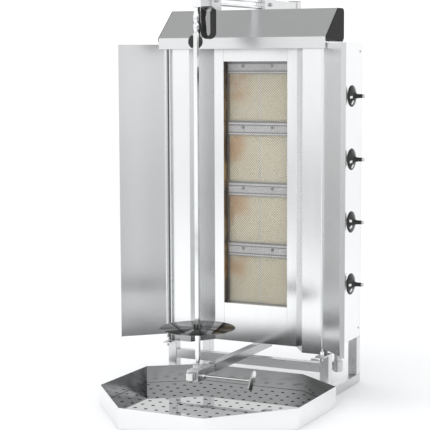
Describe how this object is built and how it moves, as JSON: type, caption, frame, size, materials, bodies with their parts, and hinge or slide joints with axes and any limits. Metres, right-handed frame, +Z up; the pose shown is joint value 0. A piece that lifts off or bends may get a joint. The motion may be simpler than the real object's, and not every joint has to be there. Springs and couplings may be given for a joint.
{
  "type": "vertical gas kebab grill",
  "caption": "Free-standing vertical rotisserie grill: gas-fired ceramic burner wall, motor-driven upright spit on a sliding carriage, swinging heat shields, hood and octagonal drip tray",
  "frame": {"origin": "centre of the footprint box on the floor plane", "axes": "+Z up, -Y to the front where the spit and tray are, +X to the side with the four gas knobs"},
  "size_m": [0.6552, 0.83, 1.2003],
  "materials": {
    "brushed": "fine linear brush, satin",
    "polished": "bright polished",
    "ceramic": "matt porous infrared tile",
    "black_plastic": "semi-gloss black",
    "cord": "matt black rubber",
    "motor_paint": "black paint",
    "dark_steel": "shaded inner face of the sheet",
    "pipe": "plain drawn pipe"
  },
  "bodies": {
    "housing": {"left_runner": "brushed", "right_runner": "brushed", "left_front_post": "brushed", "right_front_post": "brushed", "left_rear_post": "brushed", "right_rear_post": "brushed", "front_cross_tube": "brushed", "lower_arm_tube": "brushed", "lower_arm_bar": "polished", "left_side_panel": "brushed", "right_side_panel": "brushed", "back_panel": "brushed", "bottom_plate": "brushed", "top_plate": "brushed", "left_column": "brushed", "right_column": "brushed", "upper_front_panel": "brushed", "lower_front_panel": "brushed", "mesh_guard": "brushed", "burner_1": "brushed", "burner_2": "brushed", "burner_3": "brushed", "burner_4": "brushed", "ceramic_plate_1": "ceramic", "ceramic_plate_2": "ceramic", "ceramic_plate_3": "ceramic", "ceramic_plate_4": "ceramic", "hood_sheet": "brushed", "hood_left_cheek": "dark_steel", "hood_right_cheek": "dark_steel", "gas_manifold": "pipe", "mast": "brushed"},
    "carriage": {"lower_guide_rod": "polished", "upper_guide_rod": "polished", "motor_bracket": "brushed", "gear_motor": "motor_paint", "motor_cover": "brushed", "cable_gland": "black_plastic", "cord_lead": "cord", "cord_hank": "cord", "cord_tail": "cord", "mains_plug": "black_plastic"},
    "socket": {"drive_socket": "polished"},
    "spit": {"skewer": "polished", "skewer_disc": "polished"},
    "saddle": {"bearing_saddle": "brushed"},
    "clamp": {"clamp_screw": "polished"},
    "left_wing": {"left_wing": "brushed"},
    "right_wing": {"right_wing": "brushed"},
    "tray": {"drip_tray": "brushed"},
    "left_plate": {"left_floor_plate": "polished"},
    "right_plate": {"right_floor_plate": "polished"},
    "spindle_1": {"valve_spindle_1": "polished"},
    "knob_1": {"knob_1": "black_plastic"},
    "spindle_2": {"valve_spindle_2": "polished"},
    "knob_2": {"knob_2": "black_plastic"},
    "spindle_3": {"valve_spindle_3": "polished"},
    "knob_3": {"knob_3": "black_plastic"},
    "spindle_4": {"valve_spindle_4": "polished"},
    "knob_4": {"knob_4": "black_plastic"}
  },
  "joints": [
    {"name": "carriage_slide", "type": "slide", "parent": "housing", "child": "carriage", "axis": [0, 1, 0], "range_m": [-0.012, 0.058]},
    {"name": "saddle_slide", "type": "slide", "parent": "housing", "child": "saddle", "axis": [0, 1, 0], "range_m": [-0.012, 0.058]},
    {"name": "spit_turn", "type": "hinge", "parent": "carriage", "child": "socket", "pos_m": [0, -0.214, 1.04], "axis": [0, 0, 1], "continuous": true},
    {"name": "spit_lift", "type": "slide", "parent": "socket", "child": "spit", "axis": [0, 0, 1], "range_m": [0, 0.012]},
    {"name": "clamp_turn", "type": "hinge", "parent": "saddle", "child": "clamp", "pos_m": [0.02, -0.23, 0.1086], "axis": [1, 0, 0], "range_deg": [0, 360]},
    {"name": "left_wing_swing", "type": "hinge", "parent": "housing", "child": "left_wing", "pos_m": [-0.23, 0.051, 0.54], "axis": [0, 0, 1], "range_deg": [-60, 8]},
    {"name": "right_wing_swing", "type": "hinge", "parent": "housing", "child": "right_wing", "pos_m": [0.23, 0.051, 0.54], "axis": [0, 0, 1], "range_deg": [-8, 60]},
    {"name": "tray_pull", "type": "slide", "parent": "housing", "child": "tray", "axis": [0, -1, 0], "range_m": [0, 0.6]},
    {"name": "left_plate_lift", "type": "slide", "parent": "tray", "child": "left_plate", "axis": [0, 0, 1], "range_m": [0, 0.035]},
    {"name": "right_plate_lift", "type": "slide", "parent": "tray", "child": "right_plate", "axis": [0, 0, 1], "range_m": [0, 0.035]},
    {"name": "knob_1_push", "type": "slide", "parent": "housing", "child": "spindle_1", "axis": [-1, 0, 0], "range_m": [0, 0.003], "stiffness_N_per_m": 400, "springref_m": -0.008},
    {"name": "knob_1_turn", "type": "hinge", "parent": "spindle_1", "child": "knob_1", "pos_m": [0.25, 0.199, 0.8], "axis": [1, 0, 0], "range_deg": [0, 180]},
    {"name": "knob_2_push", "type": "slide", "parent": "housing", "child": "spindle_2", "axis": [-1, 0, 0], "range_m": [0, 0.003], "stiffness_N_per_m": 400, "springref_m": -0.008},
    {"name": "knob_2_turn", "type": "hinge", "parent": "spindle_2", "child": "knob_2", "pos_m": [0.25, 0.199, 0.6314], "axis": [1, 0, 0], "range_deg": [0, 180]},
    {"name": "knob_3_push", "type": "slide", "parent": "housing", "child": "spindle_3", "axis": [-1, 0, 0], "range_m": [0, 0.003], "stiffness_N_per_m": 400, "springref_m": -0.008},
    {"name": "knob_3_turn", "type": "hinge", "parent": "spindle_3", "child": "knob_3", "pos_m": [0.25, 0.199, 0.4628], "axis": [1, 0, 0], "range_deg": [0, 180]},
    {"name": "knob_4_push", "type": "slide", "parent": "housing", "child": "spindle_4", "axis": [-1, 0, 0], "range_m": [0, 0.003], "stiffness_N_per_m": 400, "springref_m": -0.008},
    {"name": "knob_4_turn", "type": "hinge", "parent": "spindle_4", "child": "knob_4", "pos_m": [0.25, 0.199, 0.2942], "axis": [1, 0, 0], "range_deg": [0, 180]}
  ],
  "couplings": [
    {"joint": "saddle_slide", "follows": "carriage_slide", "ratio": 1}
  ]
}
